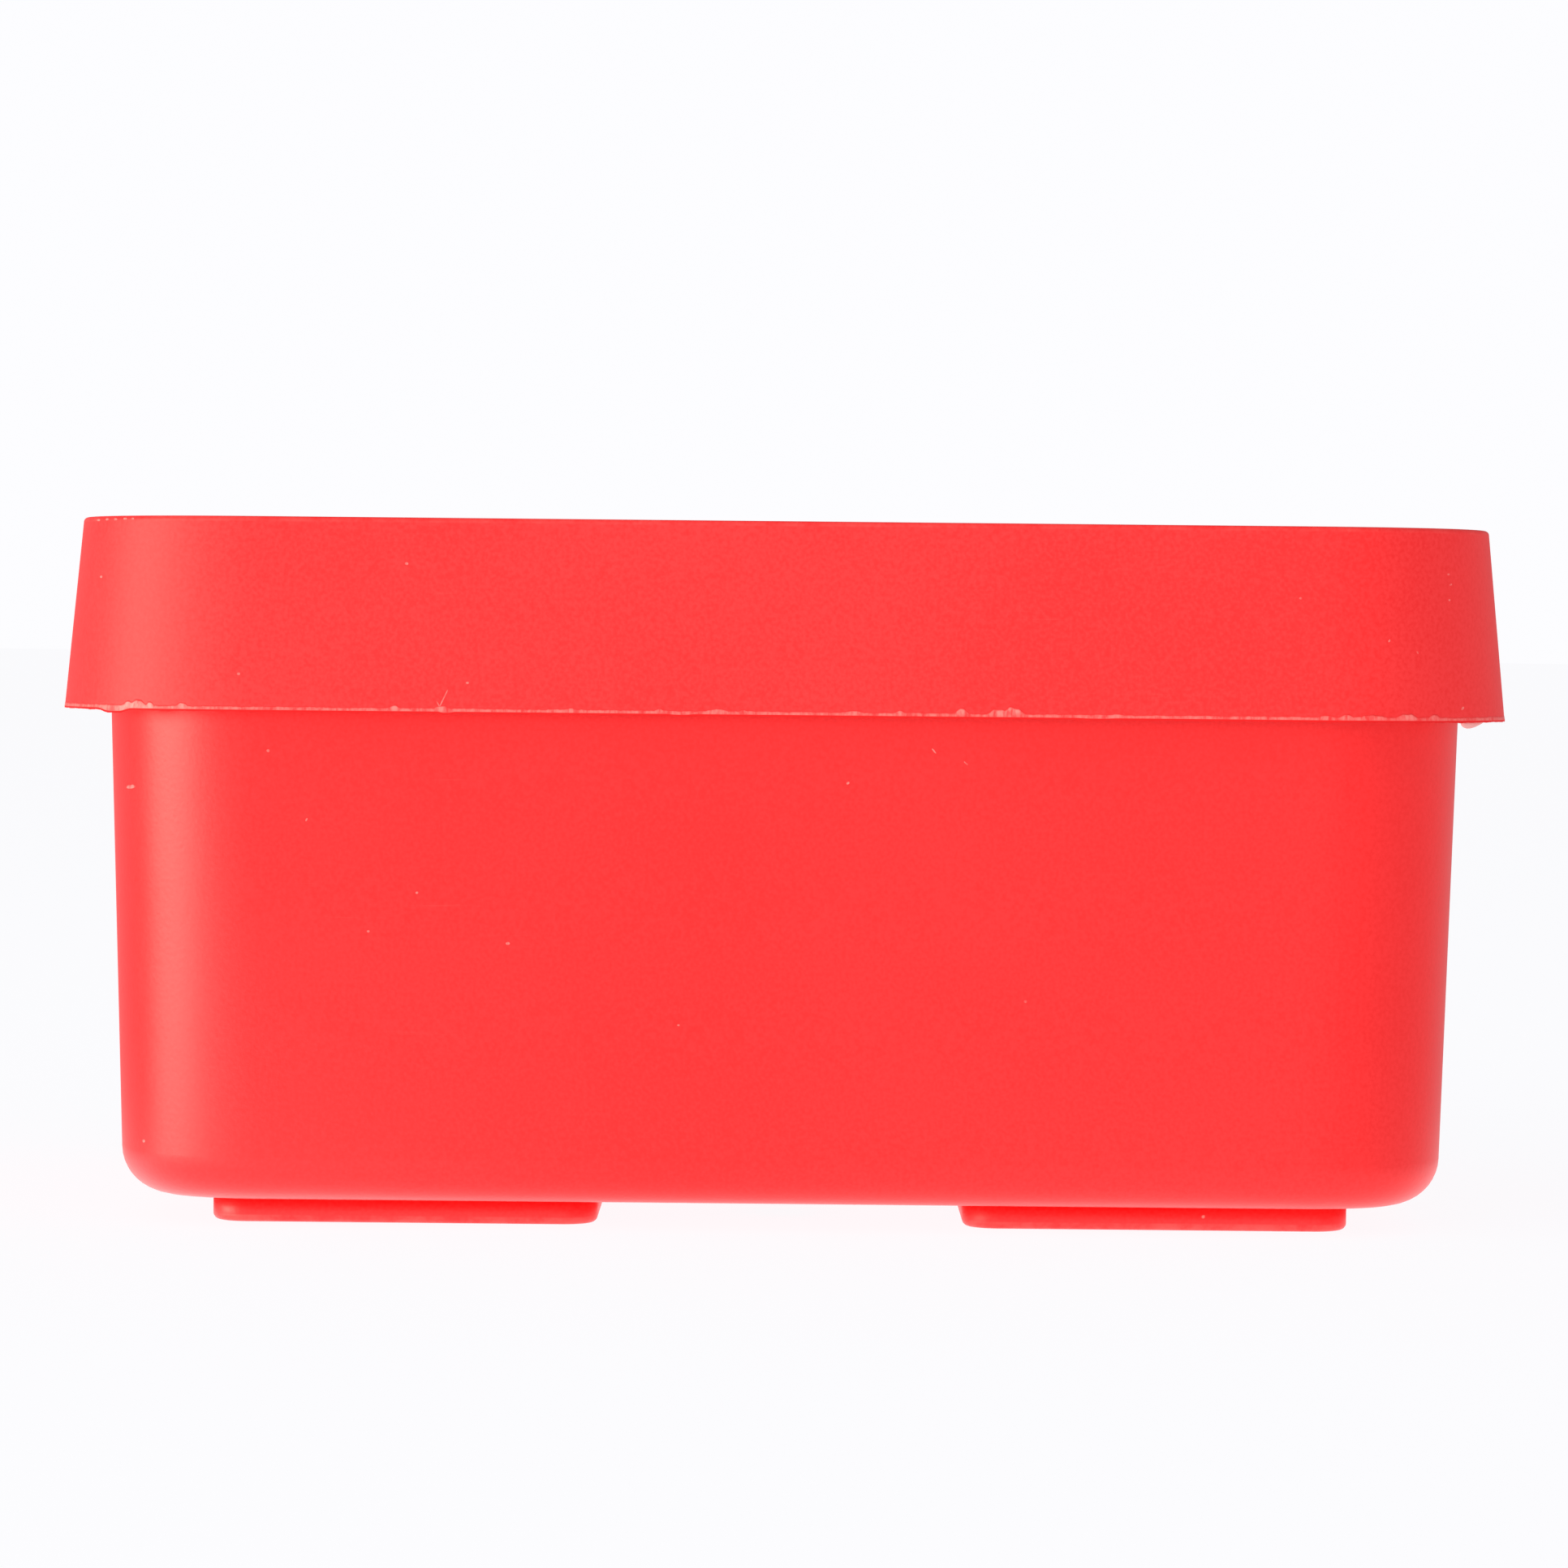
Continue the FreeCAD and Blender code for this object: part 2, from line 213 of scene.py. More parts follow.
def board(outline, thickness, edgeRound=0.35 * mm, hold=0.3 * mm, steps=4):
    # Slab in the XZ plane. Its outline moves in by r - r sin(a) while y goes r - r cos(a) from each face,
    # which rounds both edges; the flat faces fill the line inside them.
    outline = outline[np.linalg.norm(np.roll(outline, -1, 0) - outline, axis=1) > weldReach]
    u, v = outline[:, 0], outline[:, 1]
    if np.sum(u * np.roll(v, -1) - np.roll(u, -1) * v) < 0:
        outline = outline[::-1]
    ahead = np.roll(outline, -1, 0) - outline
    ahead /= np.linalg.norm(ahead, axis=1)[:, None]
    normals = np.stack([-ahead[:, 1], ahead[:, 0]], 1)
    before = np.roll(normals, 1, 0)
    inward = (normals + before) / (1 + np.sum(normals * before, 1))[:, None]
    angle = np.linspace(0, quarterTurn, steps + 1)
    inset = np.concatenate([[edgeRound + hold], edgeRound * (1 - np.sin(angle))])
    depth = np.concatenate([[0], edgeRound * (1 - np.cos(angle))]) - thickness / 2
    inset, depth = np.concatenate([inset, inset[::-1]]), np.concatenate([depth, -depth[::-1]])
    flat = outline[:, None] + inward[:, None] * inset[None, :, None]
    points = np.stack([flat[..., 0], np.broadcast_to(depth, flat.shape[:2]), flat[..., 1]], 2)
    rows, columns = points.shape[:2]
    worn = np.tile(np.concatenate([[0], np.ones(columns - 2), [0]]), rows)
    rim = surface(points.reshape(-1, 3), gridFaces(rows, columns, True, False), worn)
    return joined([rim, flatPanel(points[:, 0]), flatPanel(points[:, -1])])


def block(lengthU, lengthV, thickness, u=0.0, v=0.0, **rounding):
    # Small bar as a slab of a rectangle centred on u, v.
    a, b = lengthU / 2, lengthV / 2
    outline = np.array([(u - a, v - b), (u + a, v - b), (u + a, v + b), (u - a, v + b)])
    return board(outline, thickness, **rounding)


def placed(piece, angle=0.0, x=0.0, y=0.0):
    # Turned about the upright axis by degrees, then moved.
    c, s = math.cos(math.radians(angle)), math.sin(math.radians(angle))
    turn = np.array([(c, s, 0), (-s, c, 0), (0, 0, 1)])
    return dict(piece, points=piece["points"] @ turn + (x, y, 0))


def joined(pieces):
    # One surface of several. Faces with three corners repeat the last one until the mesh is made.
    faces, start = [], 0
    for piece in pieces:
        quads = piece["faces"]
        if quads.shape[1] == 3:
            quads = np.column_stack([quads, quads[:, 2]])
        faces.append(quads + start)
        start += len(piece["points"])
    points, edges = [[piece[key] for piece in pieces] for key in ("points", "edges")]
    return surface(np.vstack(points), np.vstack(faces), np.concatenate(edges))


def makePiece(name, piece, body, material, nodes=()):
    # Welds the surface, turns its faces outwards and hangs it on its body.
    faces = piece["faces"].tolist()
    faces = [face if face[2] != face[-1] else face[:3] for face in faces]
    mesh = bpy.data.meshes.new(name)
    mesh.from_pydata(piece["points"].tolist(), [], faces)
    # Per point: above 0, wear or paleness; below 0, on the film's underside, painted shade.
    worn = mesh.attributes.new("edgeWearAndShade", "FLOAT", "POINT")
    worn.data.foreach_set("value", piece["edges"].astype(np.float32))
    welded = bmesh.new()
    welded.from_mesh(mesh)
    bmesh.ops.remove_doubles(welded, verts=welded.verts, dist=weldReach)
    bmesh.ops.recalc_face_normals(welded, faces=welded.faces)
    welded.to_mesh(mesh)
    welded.free()
    mesh.polygons.foreach_set("use_smooth", np.ones(len(mesh.polygons), bool))
    mesh.materials.append(material)
    made = bpy.data.objects.new(name, mesh)
    bpy.context.scene.collection.objects.link(made)
    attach(made, body)
    if nodes:
        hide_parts(*nodes)
    print("made", name, len(mesh.polygons), "faces")


# Finishes
def newGroup(name, inputs, outputs):
    # Node group; inputs are (name, kind, default) and outputs (name, kind). Gives its two end nodes too.
    group = bpy.data.node_groups.new(name, "ShaderNodeTree")
    for socketName, kind, value in inputs:
        socket = group.interface.new_socket(socketName, in_out="INPUT", socket_type="NodeSocket" + kind)
        if value is not None:
            socket.default_value = value
    for socketName, kind in outputs:
        group.interface.new_socket(socketName, in_out="OUTPUT", socket_type="NodeSocket" + kind)
    return group, group.nodes.new("NodeGroupInput"), group.nodes.new("NodeGroupOutput")


def feed(tree, socket, source):
    # Links another node's output to the socket, or sets a plain value.
    if isinstance(source, bpy.types.NodeSocket):
        tree.links.new(source, socket)
    else:
        socket.default_value = source


def addNode(tree, kind, links=(), **settings):
    # Node of a kind with its settings; links are (input, where it comes from or its value).
    node = tree.nodes.new("ShaderNode" + kind)
    for key, value in settings.items():
        setattr(node, key, value)
    for socket, source in links:
        feed(tree, node.inputs[socket], source)
    return node


def placeGroup(tree, group, **values):
    node = tree.nodes.new("ShaderNodeGroup")
    node.node_tree = group
    for key, value in values.items():
        feed(tree, node.inputs[key], value)
    return node


def blended(tree, share, low, high):
    # Colour from low at 0 to high at 1.
    return addNode(tree, "Mix", [(0, share), (6, low), (7, high)], data_type="RGBA").outputs[2]


def noise(tree, place, scale, detail=2.0, roughness=0.5):
    links = [("Vector", place), ("Scale", scale), ("Detail", detail), ("Roughness", roughness)]
    return addNode(tree, "TexNoise", links).outputs["Fac"]


def ramp(tree, value, low, high):
    # 0 below low, 1 above high, smooth between.
    links = [("Value", value), ("From Min", low), ("From Max", high)]
    return addNode(tree, "MapRange", links, interpolation_type="SMOOTHSTEP").outputs["Result"]


def maths(tree, operation, a, b=0.0):
    return addNode(tree, "Math", [(0, a), (1, b)], operation=operation).outputs[0]


# Satin of a spark-eroded mould. Scales are in cycles per metre.
grainPattern = dict(peelScale=60.0, cloudScale=14.0, fineScale=1300.0, cloudShare=0.35, fineShare=0.65,
                    grainRise=0.8)


def grainGroup():
    # Height is fine grain with a slower orange peel under it; Shade is slow clouds and fine mottling.
    group, given, result = newGroup(
        "mouldGrain",
        [("Place", "Vector", None), ("Grain", "Float", 900.0), ("Peel", "Float", grainPattern["peelScale"])],
        [("Height", "Float"), ("Shade", "Float")],
    )
    grain = noise(group, given.outputs["Place"], given.outputs["Grain"], 3.0, 0.6)
    peel = noise(group, given.outputs["Place"], given.outputs["Peel"], 1.0)
    cloud = noise(group, given.outputs["Place"], grainPattern["cloudScale"], 3.0, 0.55)
    fine = noise(group, given.outputs["Place"], grainPattern["fineScale"], 1.0)
    slow = maths(group, "MULTIPLY", cloud, grainPattern["cloudShare"])
    shade = maths(group, "ADD", slow, maths(group, "MULTIPLY", fine, grainPattern["fineShare"]))
    height = maths(group, "ADD", maths(group, "MULTIPLY", grain, grainPattern["grainRise"]), peel)
    group.links.new(height, result.inputs["Height"])
    group.links.new(shade, result.inputs["Shade"])
    return group


dustPattern = dict(cellScale=60.0, bendScale=700.0, bendReach=0.6 * mm, dotCore=0.012, dotRim=0.03)


def bent(tree, place):
    # The place moved a little by noise, so that what follows it isn't regular.
    links = [("Vector", place), ("Scale", dustPattern["bendScale"]), ("Detail", 1.0)]
    noisy = addNode(tree, "TexNoise", links)
    links = [(0, noisy.outputs["Color"]), (1, (dustPattern["bendReach"],) * 3)]
    shift = addNode(tree, "VectorMath", links, operation="MULTIPLY").outputs[0]
    return addNode(tree, "VectorMath", [(0, place), (1, shift)], operation="ADD").outputs[0]


def speckGroup():
    # Specks of dust and pale resin: the middles of a few cells of a cell pattern.
    group, given, result = newGroup(
        "dustSpecks",
        [("Place", "Vector", None), ("Cells", "Float", dustPattern["cellScale"]), ("Share", "Float", 0.06)],
        [("Mask", "Float")],
    )
    links = [("Vector", bent(group, given.outputs["Place"])), ("Scale", given.outputs["Cells"])]
    cells = addNode(group, "TexVoronoi", links, feature="F1")
    drawn = addNode(group, "SeparateColor", [("Color", cells.outputs["Color"])]).outputs["Red"]
    chosen = maths(group, "LESS_THAN", drawn, given.outputs["Share"])
    away = ramp(group, cells.outputs["Distance"], dustPattern["dotCore"], dustPattern["dotRim"])
    dot = maths(group, "SUBTRACT", 1.0, away)
    group.links.new(maths(group, "MULTIPLY", chosen, dot), result.inputs["Mask"])
    return group


scuffPattern = dict(streakScale=(25.0, 25.0, 900.0), patchScale=22.0, streaks=(0.62, 0.8),
                    patches=(0.5, 0.7))


def scuffGroup():
    # Rubbed streaks: noise stretched along X, broken up by slower patches.
    group, given, result = newGroup(
        "rubbedStreaks",
        [("Place", "Vector", None), ("Amount", "Float", 0.5)],
        [("Mask", "Float")],
    )
    links = [("Vector", given.outputs["Place"]), ("Scale", scuffPattern["streakScale"])]
    stretched = addNode(group, "Mapping", links, vector_type="POINT").outputs["Vector"]
    streak = ramp(group, noise(group, stretched, 1.0, 4.0, 0.7), *scuffPattern["streaks"])
    patchy = noise(group, given.outputs["Place"], scuffPattern["patchScale"])
    patch = ramp(group, patchy, *scuffPattern["patches"])
    both = maths(group, "MULTIPLY", streak, patch)
    group.links.new(maths(group, "MULTIPLY", both, given.outputs["Amount"]), result.inputs["Mask"])
    return group


wornPattern = dict(breakScale=160.0, breaks=(0.35, 0.65))


def wornEdgeGroup():
    # Paler, broken line where a rounded edge has been rubbed, from the edgeWearAndShade attribute.
    group, given, result = newGroup(
        "wornEdge",
        [("Place", "Vector", None), ("Edge", "Float", 0.0), ("Amount", "Float", 0.5)],
        [("Mask", "Float")],
    )
    patchy = noise(group, given.outputs["Place"], wornPattern["breakScale"], 4.0, 0.65)
    broken = ramp(group, patchy, *wornPattern["breaks"])
    rubbed = maths(group, "MULTIPLY", broken, given.outputs["Edge"])
    group.links.new(maths(group, "MULTIPLY", rubbed, given.outputs["Amount"]), result.inputs["Mask"])
    return group


groups = dict(grain=grainGroup(), specks=speckGroup(), scuffs=scuffGroup(), worn=wornEdgeGroup())


plastic = dict(ior=1.49, shades=(0.3, 0.7), smoother=0.04, rougher=0.05, rubbedRougher=0.15,
               bumpStrength=0.5, bumpDepth=0.1 * mm)
film = dict(ior=1.49, roughness=0.45, paintedShadeRougher=0.5, patchScale=800.0, stretch=(1.0, 1.0, 0.3),
            patches=(0.3, 0.65), bumpStrength=0.4, bumpDepth=0.08 * mm)


def newMaterial(name):
    # Material with its node tree and its Principled shader.
    material = bpy.data.materials.new(name)
    material.use_nodes = True
    return material, material.node_tree, material.node_tree.nodes["Principled BSDF"]


def bumpLinks(tree, shader, height, finish):
    links = [("Height", height), ("Strength", finish["bumpStrength"]), ("Distance", finish["bumpDepth"])]
    tree.links.new(addNode(tree, "Bump", links).outputs["Normal"], shader.inputs["Normal"])


def mouldedPlastic(name, red, deepRed, pale, roughness, grain, dust, scuff, wear):
    # Red polypropylene: slow change between two reds, pale worn edges and streaks, dust, satin grain.
    material, tree, shader = newMaterial(name)
    place = addNode(tree, "TexCoord").outputs["Object"]
    edge = addNode(tree, "Attribute", attribute_name="edgeWearAndShade").outputs["Fac"]
    satin = placeGroup(tree, groups["grain"], Place=place, Grain=grain)
    specks = placeGroup(tree, groups["specks"], Place=place, Share=dust)
    scuffs = placeGroup(tree, groups["scuffs"], Place=place, Amount=scuff)
    worn = placeGroup(tree, groups["worn"], Place=place, Edge=edge, Amount=wear)
    shade = ramp(tree, satin.outputs["Shade"], *plastic["shades"])
    body = blended(tree, shade, (*deepRed, 1), (*red, 1))
    rubbed = maths(tree, "MAXIMUM", scuffs.outputs["Mask"], worn.outputs["Mask"])
    marked = maths(tree, "MAXIMUM", rubbed, specks.outputs["Mask"])
    tree.links.new(blended(tree, marked, body, (*pale, 1)), shader.inputs["Base Color"])
    links = [("Value", satin.outputs["Shade"]), ("To Min", roughness - plastic["smoother"])]
    links += [("To Max", roughness + plastic["rougher"])]
    rough = addNode(tree, "MapRange", links).outputs["Result"]
    rougher = maths(tree, "MULTIPLY", rubbed, plastic["rubbedRougher"])
    tree.links.new(maths(tree, "ADD", rough, rougher), shader.inputs["Roughness"])
    bumpLinks(tree, shader, satin.outputs["Height"], plastic)
    shader.inputs["IOR"].default_value = plastic["ior"]
    return material


def flashPlastic(name, red, pale, paintedShadeRed, alpha=1.0):
    # Torn film along a parting line. The per-point attribute is above 0 where the film is thin and pale,
    # and below 0 on its underside, which gets painted shade: a darker, rougher red for the shadow under the
    # edge.
    material, tree, shader = newMaterial(name)
    place = addNode(tree, "TexCoord").outputs["Object"]
    edge = addNode(tree, "Attribute", attribute_name="edgeWearAndShade").outputs["Fac"]
    links = [("Vector", place), ("Scale", film["stretch"])]
    streaked = addNode(tree, "Mapping", links, vector_type="POINT").outputs["Vector"]
    patch = noise(tree, streaked, film["patchScale"], 3.0, 0.7)
    share = maths(tree, "MULTIPLY", ramp(tree, edge, 0.0, 1.0), ramp(tree, patch, *film["patches"]))
    # Painted shade: where the attribute is below 0, the colour goes to the darker red.
    paintedShade = ramp(tree, maths(tree, "MULTIPLY", edge, -1.0), 0.1, 0.9)
    shaded = blended(tree, paintedShade, (*red, 1), (*paintedShadeRed, 1))
    tree.links.new(blended(tree, share, shaded, (*pale, 1)), shader.inputs["Base Color"])
    rougher = maths(tree, "MULTIPLY", paintedShade, film["paintedShadeRougher"])
    tree.links.new(maths(tree, "ADD", rougher, film["roughness"]), shader.inputs["Roughness"])
    bumpLinks(tree, shader, patch, film)
    shader.inputs["IOR"].default_value = film["ior"]
    shader.inputs["Alpha"].default_value = alpha
    return material


reds = dict(red=(0.98, 0.022, 0.023), deepRed=(0.94, 0.006, 0.007), pale=(1.0, 0.30, 0.26))
tubReds = dict(reds, red=(0.98, 0.010, 0.011), deepRed=(0.94, 0.001, 0.001))
footReds = dict(reds, red=(0.97, 0.017, 0.018), deepRed=(0.93, 0.006, 0.007))
tubFinish = mouldedPlastic("tubPlastic", **tubReds, roughness=0.4, grain=1100.0, dust=0.035, scuff=0.1,
                           wear=0.1)
collarFinish = mouldedPlastic("collarPlastic", **reds, roughness=0.56, grain=1000.0, dust=0.03,
                              scuff=0.12, wear=0.08)
dividerFinish = mouldedPlastic("dividerPlastic", **reds, roughness=0.42, grain=800.0, dust=0.03,
                               scuff=0.3, wear=0.3)
footFinish = mouldedPlastic("footPlastic", **footReds, roughness=0.45, grain=900.0, dust=0.06, scuff=0.3,
                            wear=0.15)
# Each film's darker red is painted shade for its underside.
flashFinish = flashPlastic("flashPlastic", red=(0.97, 0.02, 0.022), pale=(1.0, 0.25, 0.22),
                           paintedShadeRed=(0.8, 0.003, 0.004))
thinFilmFinish = flashPlastic("thinFilmPlastic", red=(1.0, 0.40, 0.37), pale=(1.0, 0.6, 0.56),
                              paintedShadeRed=(0.9, 0.1, 0.1), alpha=0.75)
print("finishes made")


# Tub
crossPlaces = [(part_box(n)[0].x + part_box(n)[1].x) / 2 for n in ("divider_cross_left", "divider_cross_right")]
cellPitch = crossPlaces[1] - crossPlaces[0]
cellCentres = [(i * cellPitch, j * cellPitch / 2) for i in (-1, 0, 1) for j in (-1, 1)]
footNodes = ["foot_front_left", "foot_front_right", "foot_rear_left", "foot_rear_right"]
footCentres = {n: (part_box(n)[0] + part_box(n)[1]) / 2 for n in footNodes}
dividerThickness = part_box("divider_long")[1].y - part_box("divider_long")[0].y

channel = dict(reach=3 * mm, rib=1.6 * mm, height=95 * mm, lead=2 * mm, sideGap=0.25 * mm)
seatBar = dict(count=4, start=12 * mm, end=34 * mm, width=2.4 * mm, height=1.2 * mm)
bead = dict(drop=14 * mm, proud=0.8 * mm, below=1.2 * mm, above=2.4 * mm, inset=4 * mm)
stake = dict(length=9 * mm, width=3 * mm, headOver=1.2 * mm, headHeight=1 * mm, stemRise=0.8 * mm,
             inset=14 * mm, gap=0.1 * mm, recessCorner=0.5 * mm, recessEase=0.15 * mm)
foot = dict(cornerRadius=7 * mm, wall=3 * mm, bottomRound=1.3 * mm, edgeRound=0.35 * mm, rib=2 * mm,
            ribRise=1 * mm, crossRise=0.3 * mm)


def stakePlaces(centre):
    step = (footHigh.x - footLow.x) / 2 - stake["inset"]
    return [(centre.x - step, centre.y), (centre.x + step, centre.y)]


def tubShell():
    # Wall profile from the flat of the underside, out and up, over the edge and down to the floor.
    slim = tub["edgeRound"]
    lapLow = webUnder - tub["lapDepth"]
    corners = [
        (tubOutside(underside) - 2 * tub["baseFillet"], underside, 0),
        (tubOutside(underside), underside, tub["baseFillet"]),
        (tubOutside(webUnder), webUnder, slim),
        (lapFace(webUnder), webUnder, slim),
        (lapFace(lapLow), lapLow, 0),
        (tubInside(lapLow), lapLow, slim),
        (tubInside(floorTop), floorTop, tub["baseFillet"] - tub["wall"]),
        (tubInside(floorTop) - 2 * tub["baseFillet"], floorTop, 0),
    ]
    profile, edges = rounded(corners, arcStep=9)
    profile, edges = profile[1:-1], edges[1:-1]      # ends in the flats, just past the fillets
    path = cratePath()
    shell = carried(profile, edges, path, closed=False)
    lowLoop, highLoop = [loopOf(path, out, z) for out, z in (profile[0], profile[-1])]
    return shell, lowLoop, highLoop


def drain(x, y):
    # Square hole through the floor, with both its edges eased.
    cornerR, ease = tub["drainCorner"], tub["drainEase"]
    half = tub["drainHole"] / 2 - cornerR
    path = rectPath(half, half, cornerSteps=6, sideStep=5 * mm)
    angle = np.linspace(0, quarterTurn, 5)
    out = cornerR + ease * (1 - np.sin(angle))
    fall = ease * (1 - np.cos(angle))
    edge = np.column_stack([np.concatenate([[out[0] + 0.3 * mm], out]), np.concatenate([[0], fall])])
    profile = np.vstack([edge * (1, -1) + (0, floorTop), edge[::-1] + (0, underside)])
    edges = np.ones(len(profile))
    edges[[0, -1]] = 0
    hole = placed(carried(profile, edges, path, closed=False), x=x, y=y)
    loops = [loopOf(path, profile[i][0], profile[i][1]) + (x, y, 0) for i in (0, -1)]
    return hole, loops[0], loops[1]


def stakeRecess(x, y):
    # Shallow square-cornered recess that a stake's head fills.
    halfX = stake["length"] / 2 + stake["headOver"] + stake["gap"]
    halfY = stake["width"] / 2 + stake["headOver"] + stake["gap"]
    cornerR, ease = stake["recessCorner"], stake["recessEase"]
    path = rectPath(halfX - cornerR, halfY - cornerR, cornerSteps=4, sideStep=4 * mm)
    bottom = floorTop - stake["headHeight"]
    profile = np.array([(cornerR + 0.4 * mm, floorTop), (cornerR + ease, floorTop),
                        (cornerR + 0.3 * ease, floorTop - 0.3 * ease), (cornerR, floorTop - ease),
                        (cornerR, bottom)])
    cup = placed(carried(profile, np.array([0, 1, 1, 1, 0]), path, closed=False), x=x, y=y)
    low = loopOf(path, cornerR, bottom) + (x, y, 0)
    return joined([cup, flatPanel(low)]), loopOf(path, profile[0][0], floorTop) + (x, y, 0)


def channelRibs():
    # Upright ribs in pairs, rooted in the middle of wall and floor, as wide as the divider between them.
    low, high = floorTop - tub["wall"] / 2, floorTop + channel["height"]
    reach, lead = channel["reach"], channel["lead"]
    innerEnd = tubInside(low) - tub["baseFillet"] - reach
    outline, _ = rounded([
        (innerEnd, low, 0),
        (lapFace(low), low, tub["baseFillet"] - tub["wall"] / 2),
        (lapFace(high), high, 0),
        (tubInside(high) - reach + lead, high, 0.8 * mm),
        (tubInside(high - lead) - reach, high - lead, 0.8 * mm),
        (tubInside(floorTop) - reach, floorTop + tub["baseFillet"] - tub["wall"], 4 * mm),
        (innerEnd, floorTop, 0),
    ])
    rib = board(outline, channel["rib"], hold=0.2 * mm)
    offset = dividerThickness / 2 + channel["sideGap"] + channel["rib"] / 2
    ribs = []
    for shift in (-offset, offset):
        for x in crossPlaces:
            ribs += [placed(rib, 90, x + shift, coreY), placed(rib, -90, x + shift, -coreY)]
        ribs += [placed(rib, 0, coreX, shift), placed(rib, 180, -coreX, shift)]
    return ribs


def seatBars():
    # Bars like spokes round each drain hole, that hold a bottle clear of the wet floor.
    low = floorTop - tub["wall"] / 2
    height = floorTop + seatBar["height"] - low
    middle = (seatBar["start"] + seatBar["end"]) / 2
    bar = block(seatBar["end"] - seatBar["start"], height, seatBar["width"], middle, low + height / 2)
    turns = np.arange(seatBar["count"]) * 360 / seatBar["count"]
    return [placed(bar, turn, x, y) for x, y in cellCentres for turn in turns]


def snapBeads():
    # Low ridge along each straight side, that the collar's gussets click over.
    crest = rimTop - bead["drop"]
    low, high = crest - bead["below"], crest + bead["above"]
    outline, _ = rounded([
        (lapFace(low), low, 0),
        (tubOutside(low), low, 0),
        (tubOutside(crest) + bead["proud"], crest, 0.5 * mm),
        (tubOutside(high), high, 0),
        (lapFace(high), high, 0),
    ], hold=0.1 * mm)
    ridges = []
    for along, across, turn in ((coreX, coreY, 90), (coreY, coreX, 0)):
        ridge = board(outline, 2 * (along - bead["inset"]), edgeRound=0.2 * mm, hold=0.1 * mm)
        for side in (0, 180):
            x, y = (0, across) if turn else (across, 0)
            ridges.append(placed(placed(ridge, turn, x, y), side))
    return ridges


def buildTub():
    shell, lowLoop, highLoop = tubShell()
    drains = [drain(x, y) for x, y in cellCentres]
    recesses = [stakeRecess(x, y) for c in footCentres.values() for x, y in stakePlaces(c)]
    holesAbove = [d[1] for d in drains] + [r[1] for r in recesses]
    pieces = [shell, flatPanel(lowLoop, [d[2] for d in drains]), flatPanel(highLoop, holesAbove)]
    pieces += [d[0] for d in drains] + [r[0] for r in recesses]
    pieces += channelRibs() + seatBars() + snapBeads()
    return joined(pieces)


makePiece("tub", buildTub(), "crate", tubFinish, ["crate_tub"])


# Collar
gusset = dict(side=5, end=3, thickness=1.6 * mm, gap=0.2 * mm, rise=4 * mm)


def skirtFace(z):
    return skirtOutside(z) - collar["faceInset"]


def skirtBack(z):
    return skirtOutside(z) - collar["skirt"]


def collarRing():
    lipLow = webUnder - tub["lapDepth"] + collar["lapGap"]
    slim, soft = collar["edgeRound"], collar["rimRound"]
    corners = [
        (tubInside(rimTop), rimTop, soft),
        (tubInside(lipLow), lipLow, slim),
        (lapFace(lipLow) - collar["lapGap"], lipLow, slim),
        (lapFace(webUnder) - collar["lapGap"], webUnder, 0),
        (skirtBack(webUnder), webUnder, 0.8 * mm),
        (skirtBack(skirtBottom), skirtBottom, slim),
        (skirtFace(skirtBottom), skirtBottom, slim),
        (skirtFace(rimTop), rimTop, soft),
    ]
    profile, edges = divided(*rounded(corners, arcStep=12), longest=9 * mm)
    return carried(profile, edges, cratePath(32))


def evenly(count, length):
    return (np.arange(count) + 0.5 - count / 2) * length / count


def gussetOutline(notched):
    crest = rimTop - bead["drop"]
    low, high = skirtBottom + gusset["rise"], webUnder + collar["web"] / 2
    notchLow, notchHigh, gap = crest - bead["below"], crest + bead["above"], gusset["gap"]
    corners = [(tubOutside(high) + gap, high, 0)]
    if notched:
        corners += [
            (tubOutside(notchHigh) + gap, notchHigh + gap, 0),
            (tubOutside(crest) + bead["proud"] + gap, crest, 0),
            (tubOutside(notchLow) + gap, notchLow - gap, 0),
        ]
    corners += [
        (tubOutside(low) + gap, low, 0.7 * mm),
        (skirtBack(low) + collar["skirt"] / 2, low, 0),
        (skirtBack(high) + collar["skirt"] / 2, high, 0),
    ]
    return rounded(corners, hold=0.1 * mm)[0]


def gussets():
    rounding = dict(edgeRound=0.3 * mm, hold=0.1 * mm)
    notched = board(gussetOutline(True), gusset["thickness"], **rounding)
    plain = board(gussetOutline(False), gusset["thickness"], **rounding)
    plates = []
    for turn in (0, 180):
        plates += [placed(placed(notched, 90, x, coreY), turn) for x in evenly(gusset["side"], 2 * coreX)]
        plates += [placed(placed(notched, 0, coreX, y), turn) for y in evenly(gusset["end"], 2 * coreY)]
    for angle, x, y in ((45, 1, 1), (135, -1, 1), (225, -1, -1), (315, 1, -1)):
        shift = cornerShift(math.radians(angle), tub["cornerBulge"])
        plates.append(placed(plain, angle, x * coreX + shift[0], y * coreY + shift[1]))
    return plates


makePiece("collar", joined([collarRing()] + gussets()), "crate", collarFinish,
          ["rim_collar"])

